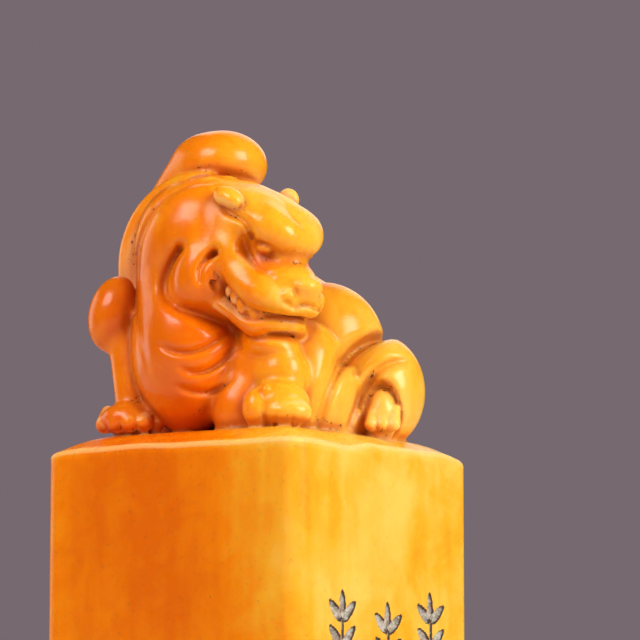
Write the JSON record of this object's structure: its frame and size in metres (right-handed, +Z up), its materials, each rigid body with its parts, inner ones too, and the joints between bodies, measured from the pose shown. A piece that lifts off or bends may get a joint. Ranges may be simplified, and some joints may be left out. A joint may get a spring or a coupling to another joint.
{
  "type": "seal stamp",
  "caption": "Square stone seal with a crouching guardian beast carved as its knob, leaf sprays cut in one side and a relief printing face.",
  "frame": {"origin": "centre of the square printing face, on the surface that the seal stands on", "axes": "+Z up along the shaft, X and Y square to its sides, the beast looks towards +X and the leaf sprays are on the +X side"},
  "size_m": [0.0342, 0.034, 0.0886],
  "materials": {
    "stone": "polished translucent orange and yellow soapstone",
    "printing_face": "cut stone stained by dry red seal paste"
  },
  "bodies": {
    "root": {"beard": "stone", "belly": "stone", "chest": "stone", "ground_mound": "stone", "left_brow": "stone", "left_cheek": "stone", "left_ear": "stone", "left_eye": "stone", "left_flank": "stone", "left_forearm": "stone", "left_forepaw": "stone", "left_hind_paw": "stone", "left_hind_thigh": "stone", "left_jowl": "stone", "left_lip": "stone", "left_shoulder": "stone", "lower_jaw": "stone", "muzzle": "stone", "neck": "stone", "nose": "stone", "rib_1": "stone", "rib_2": "stone", "rib_3": "stone", "right_brow": "stone", "right_cheek": "stone", "right_ear": "stone", "right_eye": "stone", "right_forepaw": "stone", "right_hind_paw": "stone", "right_hind_shank": "stone", "right_hind_thigh": "stone", "right_jowl": "stone", "right_lip": "stone", "right_mane_lock": "stone", "right_upper_arm": "stone", "rump": "stone", "seal_block": "stone", "seal_face": "printing_face", "skull": "stone", "spine_ridge": "stone", "tail": "stone", "tail_tuft": "stone", "torso": "stone"}
  },
  "joints": []
}
